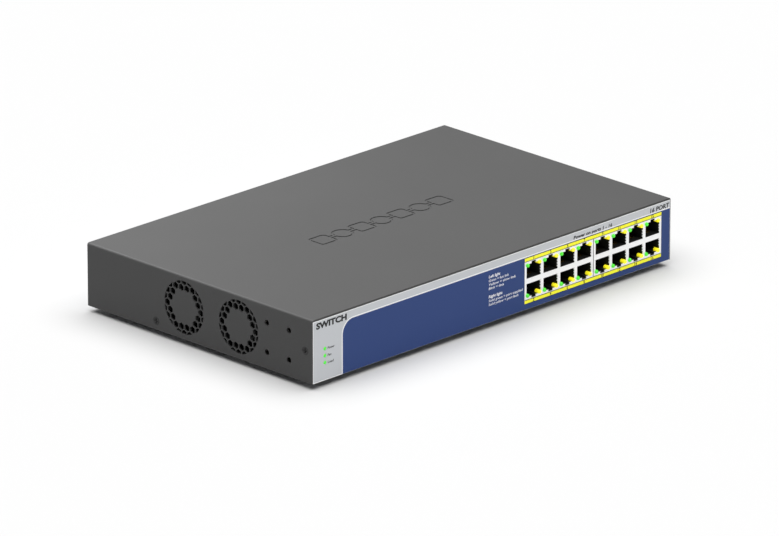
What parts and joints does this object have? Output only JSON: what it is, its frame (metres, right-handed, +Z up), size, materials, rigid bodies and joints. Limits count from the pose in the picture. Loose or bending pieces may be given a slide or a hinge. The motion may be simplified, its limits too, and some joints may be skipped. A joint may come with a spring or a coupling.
{
  "type": "desktop network switch",
  "caption": "Desktop network switch: folded steel body on rubber feet, two rows of network sockets in front, side fans behind honeycomb grilles, mains inlet at the rear.",
  "frame": {"origin": "on the floor under the middle of the body, at the underside of the rubber feet", "axes": "+Z up; the network sockets face -Y; +X is to the right seen from the front"},
  "size_m": [0.33, 0.207, 0.0475],
  "materials": {
    "cover_paint": "fine matte powder coat",
    "tray_steel": "plated steel",
    "label_film": "printed polyester film",
    "rubber": "soft matte rubber",
    "screw_black": "black oxide",
    "plated_steel": "zinc plated",
    "jack_metal": "bright nickel plate",
    "jack_plastic": "black moulded plastic",
    "contact_gold": "gold plated spring wire",
    "led_green": "clear green light",
    "led_yellow": "clear yellow light",
    "board_green": "glass fibre board with green solder mask",
    "chip_black": "moulded epoxy",
    "sink_plain": "extruded aluminium",
    "sink_black": "black anodised aluminium",
    "ferrite": "dark ferrite",
    "can_blue": "sleeved aluminium can",
    "can_black": "sleeved aluminium can",
    "nylon_white": "white nylon",
    "board_brown": "phenolic board",
    "insulator": "thin insulating sheet",
    "tape_yellow": "copper winding under polyester tape",
    "copper": "enamelled copper winding",
    "film_yellow": "moulded box capacitor",
    "ceramic": "ceramic fuse body",
    "inlet_black": "black moulded plastic",
    "blade_metal": "nickel plated brass",
    "wire_brown": "insulated copper wire",
    "wire_red": "insulated copper wire",
    "wire_black": "insulated copper wire",
    "ribbon_grey": "flat ribbon cable",
    "fan_plastic": "black glass-filled plastic",
    "bearing_bronze": "sintered bronze",
    "shaft_steel": "ground steel"
  },
  "bodies": {
    "chassis": {"top_cover": "cover_paint", "base_tray": "tray_steel", "front_label": "label_film", "rubber_feet": "rubber", "cover_screws": "screw_black", "bracket_nuts": "plated_steel", "jack_shield_left": "jack_metal", "jack_shield_right": "jack_metal", "jack_housing_left": "jack_plastic", "jack_housing_right": "jack_plastic", "jack_contacts_left": "contact_gold", "jack_contacts_right": "contact_gold", "port_leds_green": "led_green", "port_leds_yellow": "led_yellow", "main_board": "board_green", "lan_transformers": "chip_black", "switch_chip": "chip_black", "switch_heatsink": "sink_plain", "poe_chips": "chip_black", "poe_heatsinks": "sink_black", "power_inductors": "ferrite", "board_capacitors": "can_blue", "memory_chips": "chip_black", "board_headers": "nylon_white", "board_standoffs": "plated_steel", "board_screws": "plated_steel", "status_board": "board_green", "status_leds": "led_green", "status_cable": "ribbon_grey", "psu_board": "board_brown", "psu_insulator": "insulator", "psu_transformer_core": "ferrite", "psu_transformer_coil": "tape_yellow", "psu_bulk_capacitors": "can_black", "psu_primary_heatsink": "sink_plain", "psu_secondary_heatsink": "sink_plain", "psu_transistors": "chip_black", "psu_line_choke": "copper", "psu_film_capacitor": "film_yellow", "psu_fuse": "ceramic", "psu_output_capacitors": "can_blue", "psu_connectors": "nylon_white", "inlet_socket": "inlet_black", "inlet_pins": "blade_metal", "inlet_screws": "screw_black", "inlet_wires": "wire_brown", "dc_cable": "wire_red", "fan_bracket": "plated_steel", "bracket_screws": "plated_steel", "fan_screws": "screw_black", "fan_frame_front": "fan_plastic", "fan_frame_rear": "fan_plastic", "fan_bearings": "bearing_bronze", "fan_motors": "copper", "fan_cables": "wire_black"},
    "rotor_front": {"fan_rotor_front": "fan_plastic", "fan_shaft_front": "shaft_steel"},
    "rotor_rear": {"fan_rotor_rear": "fan_plastic", "fan_shaft_rear": "shaft_steel"}
  },
  "joints": [
    {"name": "fan_spin_front", "type": "hinge", "parent": "chassis", "child": "rotor_front", "pos_m": [-0.1522, -0.0365, 0.026], "axis": [-1, 0, 0], "continuous": true},
    {"name": "fan_spin_rear", "type": "hinge", "parent": "chassis", "child": "rotor_rear", "pos_m": [-0.1522, 0.0136, 0.026], "axis": [-1, 0, 0], "continuous": true}
  ]
}
